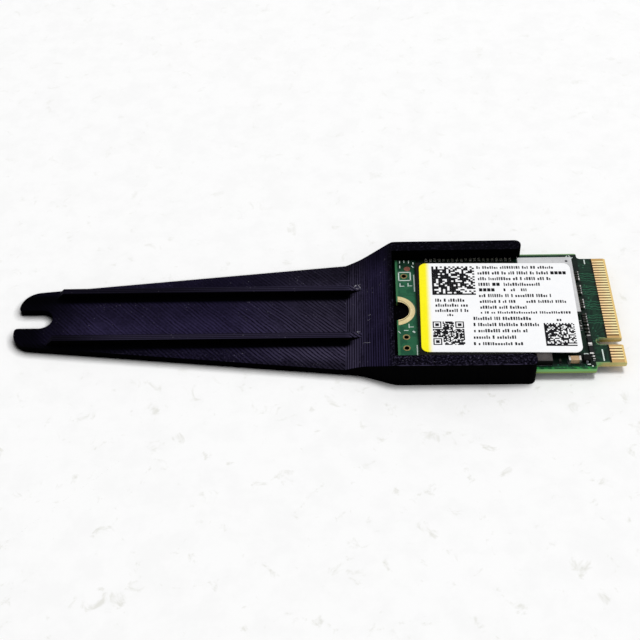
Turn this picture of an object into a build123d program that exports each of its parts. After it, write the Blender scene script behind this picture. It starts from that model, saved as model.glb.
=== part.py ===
"""Short M.2 solid-state drive held in a printed bracket that reaches the 80 mm screw position.

Frame, in millimetres: +X runs from the screw slot to the contact edge, +Y across the card,
+Z up. The origin is the middle of the bracket's flat underside, below the middle of the whole length.
"""

import os

from build123d import *

# Contact fingers: odd pins on top, even pins below, half a pitch apart
contact_pitch = 0.5
contact_width = 0.35
contact_length = 1.65
contact_count_before_key = 29
contact_count_at_key = 4
top_count_after_key = 5
bottom_count_after_key = 4
foil_thickness = 0.035
plating_thickness = 0.05

# Card: the tongue carries the contacts, and the shoulders widen it to the full width
card_length = 30.0
board_thickness = 0.8
tongue_length = 4.0
tongue_margin = 0.5
shoulder_width = 1.075
shoulder_fillet = 0.5
corner_fillet = 0.25
key_width = 1.2
key_depth = 3.5
bevel_run = 0.3
bevel_depth = 0.12

# Half-round screw pad at the card's far end
mount_hole_diameter = 3.5
mount_pad_diameter = 5.5
mount_pad_pullback = 0.2

# Plated header holes and bare pad, measured from the card's far end and centre line
header_hole_diameter = 0.65
header_pad_diameter = 1.0
header_inset = 1.2
header_pitch = 2.0
single_header_y = 6.8
double_header_y = -6.0
test_pad_diameter = 0.9
test_pad_inset = 1.7
test_pad_y = 8.3

# Ball-grid packages: both tops are level, and the label lies on them
package_height = 1.1
ball_height = 0.25
ball_sides = 8
package_gap = 0.5
package_edge = 0.08
flash_inset = 2.8
flash_side_margin = 2.0
flash_offset_y = -0.5
flash_ball_pitch = 1.0
flash_ball_diameter = 0.45
flash_ball_margin = 1.0
flash_bank_margin = 1.5
flash_bank_rows = 6
controller_length = 7.75
connector_setback = 5.0
controller_back_inset = 1.72
controller_ball_pitch = 0.8
controller_ball_diameter = 0.36
controller_ball_margin = 0.7
substrate_thickness = 0.3
lid_inset = 0.02
lid_rim_width = 1.1
lid_plate_thickness = 0.3
die_clearance = 1.1

# Power section, between the controller and the card's front edge
power_section_depth = 9.45
part_gap = 0.3
regulator_side = 2.4
regulator_height = 0.75
regulator_gap = 1.4
inductor_length = 2.5
inductor_width = 2.0
inductor_headroom = 0.1
inductor_foot_length = 0.55
inductor_foot_thickness = 0.1
inductor_foot_reach = 0.06
front_inductor_shift = 1.1
front_inductor_inset = 0.65
crystal_length = 2.0
crystal_width = 1.6
crystal_base_height = 0.3
crystal_lid_height = 0.15
crystal_lid_inset = 0.15
transistor_length = 0.94
transistor_width = 0.95
transistor_height = 0.55
transistor_standoff = 0.04
transistor_shift = 0.25
transistor_inset = 1.65
lead_width = 0.28
lead_spacing = 0.42
lead_reach = 0.35
lead_shelf = 0.06
lead_rise = 0.22
lead_thickness = 0.12

# Two-terminal chip parts
bulk_length = 1.6
bulk_width = 0.8
bulk_height = 0.7
bulk_cap = 0.24
bulk_inset = 0.95
bulk_setback = 1.87
fuse_length = 1.66
fuse_width = 0.52
fuse_height = 0.5
fuse_cap = 0.22
fuse_side_gap = 0.03
fuse_end_gap = 0.1
small_length = 0.6
small_width = 0.3
small_height = 0.3
small_cap = 0.14
small_gap = 0.2
body_relief = 0.02
lane_pitch = 0.45
lane_count = 4
lane_group_pitch = 2.75
lane_group_count = 4
first_lane_inset = 4.1
filter_pitch = 0.66
filter_count = 3
filter_inset = 1.75
by_label_setback = 0.2
by_label_gap = 1.25
by_label_pitch = 0.95
by_label_count = 2
edge_chip_length = 0.62
edge_chip_width = 0.35
edge_chip_height = 0.45
edge_chip_cap = 0.15
edge_chip_pitch = 0.63
edge_chip_count = 20
edge_chip_setback = 0.3
edge_chip_gap = 0.11

# Label, laid a little askew on the packages
label_end_margin = 0.5
label_side_margin = 0.525
label_corner = 1.0
label_thickness = 0.1
label_skew = -0.95
label_shift_x = -0.1
label_shift_y = 0.025

# Printed bracket
module_length = 80.0
prong_reach = 3.3
prong_width = 3.27
screw_slot_width = 3.5
mouth_fillet = 0.44
prong_fillet = 2.85
plate_thickness = 1.0
flare_step = 1.7
flare_run = 4.55
flare_setback = 0.45
flare_root_fillet = 8.0
flare_end_fillet = 4.0
ramp_run = 6.6
end_gap = 0.5
floor_thickness = 1.05
side_wall = 0.86
side_clearance = 0.06
lip_height = 2.0
lip_overhang = 0.95
lip_clearance = 0.1
arm_clearance = 0.15
arm_fillet = 0.85
rib_width = 1.0
rib_height = 1.0
rib_spacing = 9.0
rib_setback = 1.7

# Widths: the contacts set the tongue, the tongue sets the card, and the card sets the bracket
contact_places = contact_count_before_key + contact_count_at_key + top_count_after_key
first_contact_y = contact_pitch * (contact_places - 1) / 2
key_y = first_contact_y - contact_pitch * (contact_count_before_key + contact_count_at_key / 2 - 0.25)
tongue_width = 2 * first_contact_y + contact_width + 2 * tongue_margin
card_width = tongue_width + 2 * shoulder_width
groove_width = card_width + 2 * side_clearance
bracket_width = groove_width + 2 * side_wall
lip_edge_y = card_width / 2 - lip_overhang
lip_width = side_wall + side_clearance + lip_overhang
arm_end_radius = min(arm_fillet, 0.48 * lip_width)
tail_tip_width = screw_slot_width + 2 * prong_width
prong_radius = min(prong_fillet, 0.9 * prong_width)
mouth_radius = min(mouth_fillet, 0.14 * prong_width)
tail_root_width = bracket_width - 2 * flare_step

# Places along the part
overall_length = module_length + prong_reach
contact_edge_x = overall_length / 2
tip_x = contact_edge_x - overall_length
screw_x = contact_edge_x - module_length
card_end_x = contact_edge_x - card_length
shoulder_x = contact_edge_x - tongue_length
pocket_x = card_end_x - end_gap
ramp_foot_x = pocket_x - ramp_run
flare_end_x = card_end_x - flare_setback
flare_start_x = flare_end_x - flare_run

# Levels
board_bottom_z = floor_thickness + foil_thickness
board_top_z = board_bottom_z + board_thickness
bracket_height = board_top_z + lip_height
package_bottom_z = board_top_z + ball_height
package_top_z = board_top_z + package_height
lid_bottom_z = package_bottom_z + substrate_thickness
lid_plate_z = package_top_z - lid_plate_thickness

# Places on the card: the flash package fills the length that the controller leaves
controller_end_x = contact_edge_x - connector_setback
controller_x = controller_end_x - controller_length / 2
flash_end_x = controller_end_x - controller_length - package_gap
flash_start_x = card_end_x + flash_inset
flash_x = (flash_start_x + flash_end_x) / 2
flash_length = flash_end_x - flash_start_x
flash_width = card_width - 2 * flash_side_margin
controller_front_y = power_section_depth - card_width / 2
controller_back_y = card_width / 2 - controller_back_inset
controller_y = (controller_front_y + controller_back_y) / 2
controller_width = controller_back_y - controller_front_y
lid_length = controller_length - 2 * lid_inset
lid_width = controller_width - 2 * lid_inset
side_inductor_x = flash_end_x + part_gap + inductor_width / 2
front_inductor_x = side_inductor_x + front_inductor_shift
arm_end_x = front_inductor_x - inductor_width / 2 - arm_clearance

tolerance = 1e-3


def at(shapes, axis, place):
    """The shapes whose middle lies at this place along an axis."""
    return shapes.filter_by_position(axis, place - tolerance, place + tolerance)


def ball_count(span, margin, pitch):
    """How many balls fit along a package's side."""
    return int((span - 2 * margin) / pitch + tolerance) + 1


def chip_bodies(places, length, width, height, cap):
    """Bodies of two-terminal chip parts, between their end caps and just inside the caps' section."""
    with BuildPart() as bodies:
        with BuildSketch(Plane.XY.offset(board_top_z + body_relief)):
            with Locations(*places):
                Rectangle(length - 2 * cap, width - 2 * body_relief)
        extrude(amount=height - 2 * body_relief)
    return bodies.part


def chip_terminals(places, length, width, height, cap):
    """Tinned end caps of two-terminal chip parts, standing on the board."""
    with BuildPart() as terminals:
        with BuildSketch(Plane.XY.offset(board_top_z)):
            with Locations(*places):
                with Locations((-(length - cap) / 2, 0), ((length - cap) / 2, 0)):
                    Rectangle(cap, width)
        extrude(amount=height)
    return terminals.part


def solder_balls(banks, pitch, diameter, columns, rows):
    """Banks of solder balls between the board and a package, as short faceted posts."""
    with BuildPart() as balls:
        with BuildSketch(Plane.XY.offset(board_top_z)):
            with Locations(*banks):
                with GridLocations(pitch, pitch, columns, rows):
                    RegularPolygon(diameter / 2, ball_sides)
        extrude(amount=ball_height)
    return balls.part


def contact_row(first_y, count_after_key, plane):
    """One face's contact fingers: the run before the key, the gap at the key, and the run after it."""
    resume = contact_count_before_key + contact_count_at_key
    numbers = list(range(contact_count_before_key))
    numbers += list(range(resume, resume + count_after_key))
    finger_x = contact_edge_x - bevel_run - contact_length / 2
    with BuildPart() as fingers:
        with BuildSketch(plane):
            with Locations(*[(finger_x, first_y - contact_pitch * n) for n in numbers]):
                Rectangle(contact_length, contact_width)
        extrude(amount=foil_thickness)
    return fingers.part


# Printed bracket: plan outline, ramp from the tail plate, stiffening ribs, and the card's grooves
with BuildPart() as extension_bracket:
    with BuildSketch() as plan:
        with BuildLine():
            half_outline = Polyline(
                (tip_x, 0),
                (tip_x, tail_tip_width / 2),
                (flare_start_x, tail_root_width / 2),
                (flare_end_x, bracket_width / 2),
                (arm_end_x, bracket_width / 2),
                (arm_end_x, 0),
            )
            mirror(half_outline, about=Plane.XZ)
        make_face()
        fillet(at(plan.vertices(), Axis.X, tip_x), prong_radius)
        fillet(at(plan.vertices(), Axis.X, flare_start_x), flare_root_fillet)
        fillet(at(plan.vertices(), Axis.X, flare_end_x), flare_end_fillet)
        fillet(at(plan.vertices(), Axis.X, arm_end_x), arm_end_radius)
        with Locations((screw_x, 0)):
            Circle(screw_slot_width / 2, mode=Mode.SUBTRACT)
        with Locations((tip_x, 0)):
            Rectangle(prong_reach, screw_slot_width, align=(Align.MIN, Align.CENTER), mode=Mode.SUBTRACT)
        mouth = at(plan.vertices(), Axis.X, tip_x).sort_by(Axis.Y)
        fillet(mouth[1:-1], mouth_radius)
    extrude(amount=bracket_height)
    with BuildSketch(Plane.XZ):
        with BuildLine():
            Polyline(
                (tip_x - bracket_height, plate_thickness),
                (ramp_foot_x, plate_thickness),
                (pocket_x, bracket_height),
                (pocket_x, 2 * bracket_height),
                (tip_x - bracket_height, 2 * bracket_height),
                close=True,
            )
        make_face()
    extrude(amount=bracket_width, both=True, mode=Mode.SUBTRACT)
    rib_x = screw_x + rib_setback
    for rib_y in (-rib_spacing / 2, rib_spacing / 2):
        with BuildSketch(Plane.XZ.offset(-rib_y)):
            with BuildLine():
                Polyline(
                    (rib_x, 0),
                    (rib_x, plate_thickness),
                    (rib_x + rib_height, plate_thickness + rib_height),
                    (pocket_x, plate_thickness + rib_height),
                    (pocket_x, 0),
                    close=True,
                )
            make_face()
        extrude(amount=rib_width / 2, both=True)
    groove_height = foil_thickness + board_thickness + lip_clearance
    with BuildSketch(Plane.XY.offset(floor_thickness)):
        with Locations((pocket_x, 0)):
            Rectangle(end_gap + card_length, groove_width, align=(Align.MIN, Align.CENTER))
    extrude(amount=groove_height, mode=Mode.SUBTRACT)
    with BuildSketch(Plane.XY.offset(floor_thickness)):
        with Locations((pocket_x, 0)):
            Rectangle(end_gap + card_length, 2 * lip_edge_y, align=(Align.MIN, Align.CENTER))
    extrude(amount=bracket_height, mode=Mode.SUBTRACT)
    lip_ends = at(extension_bracket.edges().filter_by(Axis.Z), Axis.X, arm_end_x)
    inner_ends = [edge for edge in lip_ends if abs(abs(edge.center().Y) - lip_edge_y) < tolerance]
    fillet(inner_ends, arm_end_radius)

header_places = [
    (card_end_x + header_inset, single_header_y),
    (card_end_x + header_inset, double_header_y + header_pitch / 2),
    (card_end_x + header_inset, double_header_y - header_pitch / 2),
]

# Circuit board: shouldered outline, keyed tongue with bevelled lead-in, half-round screw hole
with BuildPart() as circuit_board:
    with BuildSketch(Plane.XY.offset(board_bottom_z)) as outline:
        with BuildLine():
            half_outline = Polyline(
                (card_end_x, 0),
                (card_end_x, card_width / 2),
                (shoulder_x, card_width / 2),
                (shoulder_x, tongue_width / 2),
                (contact_edge_x, tongue_width / 2),
                (contact_edge_x, 0),
            )
            mirror(half_outline, about=Plane.XZ)
        make_face()
        shoulders = at(outline.vertices(), Axis.X, shoulder_x).sort_by(Axis.Y)
        fillet(shoulders[1:-1], shoulder_fillet)
        outer = outline.vertices().group_by(Axis.Y)
        fillet(outer[0] + outer[-1], corner_fillet)
        with Locations((contact_edge_x - key_depth + key_width / 2, key_y)):
            Circle(key_width / 2, mode=Mode.SUBTRACT)
            Rectangle(key_depth, key_width, align=(Align.MIN, Align.CENTER), mode=Mode.SUBTRACT)
        with Locations((card_end_x, 0)):
            Circle(mount_hole_diameter / 2 + plating_thickness, mode=Mode.SUBTRACT)
        with Locations(*header_places):
            Circle(header_hole_diameter / 2 + plating_thickness, mode=Mode.SUBTRACT)
    extrude(amount=board_thickness)
    with BuildSketch(Plane.XZ):
        for face_z, inward in ((board_top_z, -bevel_depth), (board_bottom_z, bevel_depth)):
            with BuildLine():
                Polyline(
                    (contact_edge_x - bevel_run, face_z),
                    (contact_edge_x, face_z),
                    (contact_edge_x, face_z + inward),
                    close=True,
                )
            make_face()
    extrude(amount=card_width, both=True, mode=Mode.SUBTRACT)

# Screw pad: a plated half-round sleeve with a copper land on each face, held back from the board's edge
with BuildPart() as mounting_pad:
    hole_radius = mount_hole_diameter / 2
    land_radius = mount_pad_diameter / 2
    sleeve_radius = hole_radius + plating_thickness
    with BuildSketch(Plane.YZ.offset(card_end_x)):
        with BuildLine():
            Polyline(
                (hole_radius, board_bottom_z - foil_thickness),
                (land_radius, board_bottom_z - foil_thickness),
                (land_radius, board_bottom_z),
                (sleeve_radius, board_bottom_z),
                (sleeve_radius, board_top_z),
                (land_radius, board_top_z),
                (land_radius, board_top_z + foil_thickness),
                (hole_radius, board_top_z + foil_thickness),
                close=True,
            )
        make_face()
    revolve(axis=Axis((card_end_x, 0, 0), (0, 0, -1)), revolution_arc=180)
    with Locations((card_end_x, 0, 0)):
        Box(
            mount_pad_pullback,
            mount_pad_diameter,
            bracket_height,
            align=(Align.MIN, Align.CENTER, Align.MIN),
            mode=Mode.SUBTRACT,
        )

# Plated barrels of the header holes, each with a ring land on both faces
with BuildPart() as header_barrels:
    for land_z in (board_bottom_z - foil_thickness, board_top_z):
        with BuildSketch(Plane.XY.offset(land_z)):
            with Locations(*header_places):
                Circle(header_pad_diameter / 2)
                Circle(header_hole_diameter / 2, mode=Mode.SUBTRACT)
        extrude(amount=foil_thickness)
    with BuildSketch(Plane.XY.offset(board_bottom_z)):
        with Locations(*header_places):
            Circle(header_hole_diameter / 2 + plating_thickness)
            Circle(header_hole_diameter / 2, mode=Mode.SUBTRACT)
    extrude(amount=board_thickness)

# Bare round test point by the single header hole
with BuildPart() as test_pad:
    with BuildSketch(Plane.XY.offset(board_top_z)):
        with Locations((card_end_x + test_pad_inset, test_pad_y)):
            Circle(test_pad_diameter / 2)
    extrude(amount=foil_thickness)

# Flash memory package: moulded block with eased edges
with BuildPart() as flash_package:
    with BuildSketch(Plane.XY.offset(package_bottom_z)):
        with Locations((flash_x, flash_offset_y)):
            Rectangle(flash_length, flash_width)
    extrude(amount=package_top_z - package_bottom_z)
    chamfer(flash_package.faces().sort_by(Axis.Z)[-1].edges(), package_edge)

# Controller: substrate, with a stamped metal lid that is hollow over the die
with BuildPart() as controller_substrate:
    with BuildSketch(Plane.XY.offset(package_bottom_z)):
        with Locations((controller_x, controller_y)):
            Rectangle(controller_length, controller_width)
    extrude(amount=substrate_thickness)

with BuildPart() as controller_lid:
    with BuildSketch(Plane.XY.offset(lid_bottom_z)):
        with Locations((controller_x, controller_y)):
            Rectangle(lid_length, lid_width)
    extrude(amount=package_top_z - lid_bottom_z)
    chamfer(controller_lid.faces().sort_by(Axis.Z)[-1].edges(), package_edge)
    with BuildSketch(Plane.XY.offset(lid_bottom_z)):
        with Locations((controller_x, controller_y)):
            Rectangle(lid_length - 2 * lid_rim_width, lid_width - 2 * lid_rim_width)
    extrude(amount=lid_plate_z - lid_bottom_z, mode=Mode.SUBTRACT)

with BuildPart() as controller_die:
    die_inset = lid_rim_width + die_clearance
    with BuildSketch(Plane.XY.offset(lid_bottom_z)):
        with Locations((controller_x, controller_y)):
            Rectangle(lid_length - 2 * die_inset, lid_width - 2 * die_inset)
    extrude(amount=lid_plate_z - lid_bottom_z)

# Power regulator, between the inductors and the clock crystal
regulator_x = side_inductor_x + inductor_width / 2 + part_gap + regulator_side / 2
regulator_y = controller_front_y - regulator_gap - regulator_side / 2
with BuildPart() as power_regulator:
    with BuildSketch(Plane.XY.offset(board_top_z)):
        with Locations((regulator_x, regulator_y)):
            Rectangle(regulator_side, regulator_side)
    extrude(amount=regulator_height)
    chamfer(power_regulator.faces().sort_by(Axis.Z)[-1].edges(), package_edge)

# Moulded inductors: one past the front arm's end, and one midway between it and the controller
front_inductor_y = front_inductor_inset + inductor_length / 2 - card_width / 2
side_inductor_y = (front_inductor_y + inductor_length / 2 + controller_front_y) / 2
inductor_places = [
    (front_inductor_x, front_inductor_y),
    (side_inductor_x, side_inductor_y),
]
with BuildPart() as inductors:
    with BuildSketch(Plane.XY.offset(board_top_z + inductor_foot_thickness)):
        with Locations(*inductor_places):
            Rectangle(inductor_width, inductor_length)
    extrude(amount=package_height - inductor_headroom - inductor_foot_thickness)
    chamfer(inductors.faces().filter_by(Axis.Z).group_by(Axis.Z)[-1].edges(), package_edge)

with BuildPart() as inductor_feet:
    foot_y = inductor_length / 2 + inductor_foot_reach - inductor_foot_length / 2
    with BuildSketch(Plane.XY.offset(board_top_z)):
        with Locations(*inductor_places):
            with Locations((0, foot_y), (0, -foot_y)):
                Rectangle(inductor_width - 2 * inductor_foot_reach, inductor_foot_length)
    extrude(amount=inductor_foot_thickness)

# Clock crystal: ceramic base and metal lid
crystal_x = regulator_x + regulator_side / 2 + part_gap + crystal_length / 2
crystal_y = controller_front_y - regulator_gap - crystal_width / 2
with BuildPart() as clock_crystal_base:
    with BuildSketch(Plane.XY.offset(board_top_z)):
        with Locations((crystal_x, crystal_y)):
            Rectangle(crystal_length, crystal_width)
    extrude(amount=crystal_base_height)

with BuildPart() as clock_crystal_lid:
    with BuildSketch(Plane.XY.offset(board_top_z + crystal_base_height)):
        with Locations((crystal_x, crystal_y)):
            Rectangle(crystal_length - 2 * crystal_lid_inset, crystal_width - 2 * crystal_lid_inset)
    extrude(amount=crystal_lid_height)

# Three-lead transistor by the front shoulder: moulded body, two leads behind it and one in front
transistor_x = controller_end_x - transistor_shift
transistor_y = transistor_inset - card_width / 2
with BuildPart() as transistor_body:
    with BuildSketch(Plane.XY.offset(board_top_z + transistor_standoff)):
        with Locations((transistor_x, transistor_y)):
            Rectangle(transistor_length, transistor_width)
    extrude(amount=transistor_height - transistor_standoff)
    chamfer(transistor_body.faces().sort_by(Axis.Z)[-1].edges(), package_edge)

with BuildPart() as transistor_leads:
    lead_top = lead_rise + lead_thickness
    lead_heel = lead_shelf + lead_thickness
    for lead_x, side in ((-lead_spacing / 2, 1), (lead_spacing / 2, 1), (0, -1)):
        bend = [
            (0, lead_rise),
            (0, lead_top),
            (lead_heel, lead_top),
            (lead_heel, lead_thickness),
            (lead_reach, lead_thickness),
            (lead_reach, 0),
            (lead_shelf, 0),
            (lead_shelf, lead_rise),
        ]
        with BuildSketch(Plane.YZ.offset(transistor_x + lead_x)):
            with BuildLine():
                Polyline(
                    *[(transistor_y + side * (transistor_width / 2 + y), board_top_z + z) for y, z in bend],
                    close=True,
                )
            make_face()
        extrude(amount=lead_width / 2, both=True)

# Bulk capacitors: one on the card's front edge, two in front of the crystal
bulk_x = controller_end_x - bulk_setback
bulk_y = bulk_inset + bulk_width / 2 - card_width / 2
hidden_bulk_y = crystal_y - crystal_width / 2 - small_gap - bulk_width / 2
bulk_places = [
    (bulk_x, bulk_y),
    (crystal_x, hidden_bulk_y),
    (crystal_x, hidden_bulk_y - bulk_width - small_gap),
]
bulk_size = (bulk_length, bulk_width, bulk_height, bulk_cap)

# Chip fuses beside the transistor's leads, end to end across the card
fuse_x = transistor_x + transistor_length / 2 + fuse_side_gap + fuse_width / 2
fuse_y = transistor_y + transistor_width / 2 + fuse_end_gap + fuse_length / 2
fuse_places = [
    Location((fuse_x, fuse_y, 0), (0, 0, 90)),
    Location((fuse_x, fuse_y + fuse_length + fuse_end_gap, 0), (0, 0, 90)),
]
fuse_size = (fuse_length, fuse_width, fuse_height, fuse_cap)

# Coupling capacitors of the data lanes, in groups beside the controller
lane_x = controller_end_x + small_gap + small_length / 2
first_lane_y = card_width / 2 - first_lane_inset
lane_places = [
    (lane_x, first_lane_y - group * lane_group_pitch - lane * lane_pitch)
    for group in range(lane_group_count)
    for lane in range(lane_count)
]
small_size = (small_length, small_width, small_height, small_cap)

# Filter capacitors: a short run below the lanes, one beside the front bulk capacitor, one by the transistor,
# and a pair in front of the controller that shows past the label
last_lane_y = first_lane_y - (lane_group_count - 1) * lane_group_pitch - (lane_count - 1) * lane_pitch
between_x = (front_inductor_x + inductor_width / 2 + bulk_x - bulk_length / 2) / 2
filter_places = [(lane_x, last_lane_y - filter_pitch * (number + 1)) for number in range(filter_count)]
by_transistor_x = transistor_x + transistor_length / 2 + small_gap + small_length / 2
by_transistor_y = filter_inset - card_width / 2
filter_places += [Location((between_x, bulk_y, 0), (0, 0, 90))]
filter_places += [Location((by_transistor_x, by_transistor_y, 0), (0, 0, 90))]
by_label_x = controller_end_x - by_label_setback
filter_places += [
    Location((by_label_x, controller_front_y - by_label_gap - by_label_pitch * number, 0), (0, 0, 90))
    for number in range(by_label_count)
]

# Row of small capacitors between the flash package and the back arm's lip
edge_chip_y = lip_edge_y - edge_chip_gap - edge_chip_length / 2
edge_places = [
    Location((flash_end_x - edge_chip_setback - edge_chip_pitch * number, edge_chip_y, 0), (0, 0, 90))
    for number in range(edge_chip_count)
]
edge_size = (edge_chip_length, edge_chip_width, edge_chip_height, edge_chip_cap)

# Label: thin film with rounded corners over both packages
with BuildPart() as label:
    label_x = (flash_start_x + controller_end_x) / 2 + label_shift_x
    label_place = Location((label_x, flash_offset_y + label_shift_y, 0), (0, 0, label_skew))
    with BuildSketch(Plane.XY.offset(package_top_z)):
        with Locations(label_place):
            RectangleRounded(
                controller_end_x - flash_start_x - 2 * label_end_margin,
                flash_width - 2 * label_side_margin,
                label_corner,
            )
    extrude(amount=label_thickness)

# Solder balls: two banks under the flash package, one full grid under the controller
flash_bank_y = flash_width / 2 - flash_bank_margin - flash_ball_pitch * (flash_bank_rows - 1) / 2
flash_columns = ball_count(flash_length, flash_ball_margin, flash_ball_pitch)
controller_columns = ball_count(controller_length, controller_ball_margin, controller_ball_pitch)
controller_rows = ball_count(controller_width, controller_ball_margin, controller_ball_pitch)

pieces = {
    "extension_bracket": extension_bracket.part,
    "circuit_board": circuit_board.part,
    "top_contacts": contact_row(first_contact_y, top_count_after_key, Plane.XY.offset(board_top_z)),
    "bottom_contacts": contact_row(
        first_contact_y - contact_pitch / 2,
        bottom_count_after_key,
        Plane.XY.offset(board_bottom_z - foil_thickness),
    ),
    "mounting_pad": mounting_pad.part,
    "header_barrels": header_barrels.part,
    "test_pad": test_pad.part,
    "flash_package": flash_package.part,
    "flash_solder_balls": solder_balls(
        [(flash_x, flash_offset_y - flash_bank_y), (flash_x, flash_offset_y + flash_bank_y)],
        flash_ball_pitch,
        flash_ball_diameter,
        flash_columns,
        flash_bank_rows,
    ),
    "controller_substrate": controller_substrate.part,
    "controller_die": controller_die.part,
    "controller_lid": controller_lid.part,
    "controller_solder_balls": solder_balls(
        [(controller_x, controller_y)],
        controller_ball_pitch,
        controller_ball_diameter,
        controller_columns,
        controller_rows,
    ),
    "power_regulator": power_regulator.part,
    "inductors": inductors.part,
    "inductor_feet": inductor_feet.part,
    "clock_crystal_base": clock_crystal_base.part,
    "clock_crystal_lid": clock_crystal_lid.part,
    "transistor_body": transistor_body.part,
    "transistor_leads": transistor_leads.part,
    "bulk_capacitors": chip_bodies(bulk_places, *bulk_size),
    "bulk_capacitor_terminals": chip_terminals(bulk_places, *bulk_size),
    "chip_fuses": chip_bodies(fuse_places, *fuse_size),
    "chip_fuse_terminals": chip_terminals(fuse_places, *fuse_size),
    "coupling_capacitors": chip_bodies(lane_places, *small_size),
    "coupling_capacitor_terminals": chip_terminals(lane_places, *small_size),
    "filter_capacitors": chip_bodies(filter_places, *small_size),
    "filter_capacitor_terminals": chip_terminals(filter_places, *small_size),
    "edge_capacitors": chip_bodies(edge_places, *edge_size),
    "edge_capacitor_terminals": chip_terminals(edge_places, *edge_size),
    "label": label.part,
}

os.makedirs("parts", exist_ok=True)
for name, piece in pieces.items():
    piece.label = name
    export_step(piece, f"parts/{name}.step")
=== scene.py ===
"""Looks for a short M.2 drive in its printed extension bracket.

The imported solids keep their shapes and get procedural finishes. Label print, silkscreen, traces, solder
and the bracket's print flaws are numpy surfaces laid on them. Places are in millimetres from the card's
notched end, its centre line and its top face, and become metres in the shared frame where a mesh is made.
"""

import math

import bpy
import numpy as np
from mathutils import Matrix, Vector


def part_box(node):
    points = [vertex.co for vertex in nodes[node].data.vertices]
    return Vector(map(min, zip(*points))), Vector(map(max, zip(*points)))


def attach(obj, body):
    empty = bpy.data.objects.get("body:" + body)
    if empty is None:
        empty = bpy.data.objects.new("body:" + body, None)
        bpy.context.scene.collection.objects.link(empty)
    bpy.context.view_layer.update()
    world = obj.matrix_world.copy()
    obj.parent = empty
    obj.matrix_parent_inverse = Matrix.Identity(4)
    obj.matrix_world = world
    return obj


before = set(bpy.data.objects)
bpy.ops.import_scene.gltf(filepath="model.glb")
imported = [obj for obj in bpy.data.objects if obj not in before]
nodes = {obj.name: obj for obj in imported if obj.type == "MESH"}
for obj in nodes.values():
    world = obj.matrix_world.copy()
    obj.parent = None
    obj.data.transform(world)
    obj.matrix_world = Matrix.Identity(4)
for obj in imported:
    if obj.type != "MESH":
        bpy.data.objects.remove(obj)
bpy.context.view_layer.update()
scene = bpy.context.scene
draw = np.random.default_rng(30)

# Where the card and the label lie in the shared frame
MM = 0.001
board_low, board_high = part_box("circuit_board")
CARD_X = board_low.x / MM
CARD_Z = board_high.z / MM
CARD_LENGTH = (board_high.x - board_low.x) / MM
BOARD_EDGE = board_high.y / MM
BOARD_UNDER = (board_low.z - board_high.z) / MM
LID_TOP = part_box("controller_lid")[1].z / MM - CARD_Z
LABEL_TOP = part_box("label")[1].z / MM - CARD_Z
LABEL_CENTRE = np.array([13.8, -0.4])
LABEL_SKEW = math.radians(-0.95)
LABEL_HALF_LENGTH = 10.6

# Tongue, key notch and lacquer's end
TONGUE_START = CARD_LENGTH - 4.0
KEY_RADIUS = 0.6
KEY_X, KEY_Y = CARD_LENGTH - 3.5 + KEY_RADIUS, -6.125
BEVEL_START = CARD_LENGTH - 0.3
MASK_END = 28.04
CONTACT_PITCH = 0.5
FIRST_CONTACT_Y = 9.25
WEAVE_PITCH = 0.34

# Bracket: outer edge of the arms, ribs, ramp and print lines
ARM_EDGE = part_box("extension_bracket")[1].y / MM
RIB_INNER, RIB_OUTER, RIB_HEIGHT = 4.0, 5.0, 1.0
RIB_FRONTS = (RIB_INNER, -RIB_OUTER)
RAMP_FOOT, RAMP_FOOT_Z = -7.1, -0.885
RAMP_SLOPE = 2.885 / 6.6
RAMP_ONSET = (RAMP_FOOT - 0.3, RAMP_FOOT + 0.7)
RASTER_PITCH = 0.47
LAYER_HEIGHT = 0.14
RIB_LINE_PITCH = 0.34
LINE_STRETCH = 0.06


def srgb(red, green, blue):
    """A colour written in display values from 0 to 255, as linear numbers with full alpha."""
    shown = np.array([red, green, blue]) / 255
    linear = np.where(shown <= 0.04045, shown / 12.92, ((shown + 0.055) / 1.055) ** 2.4)
    return (*linear.tolist(), 1.0)


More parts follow.
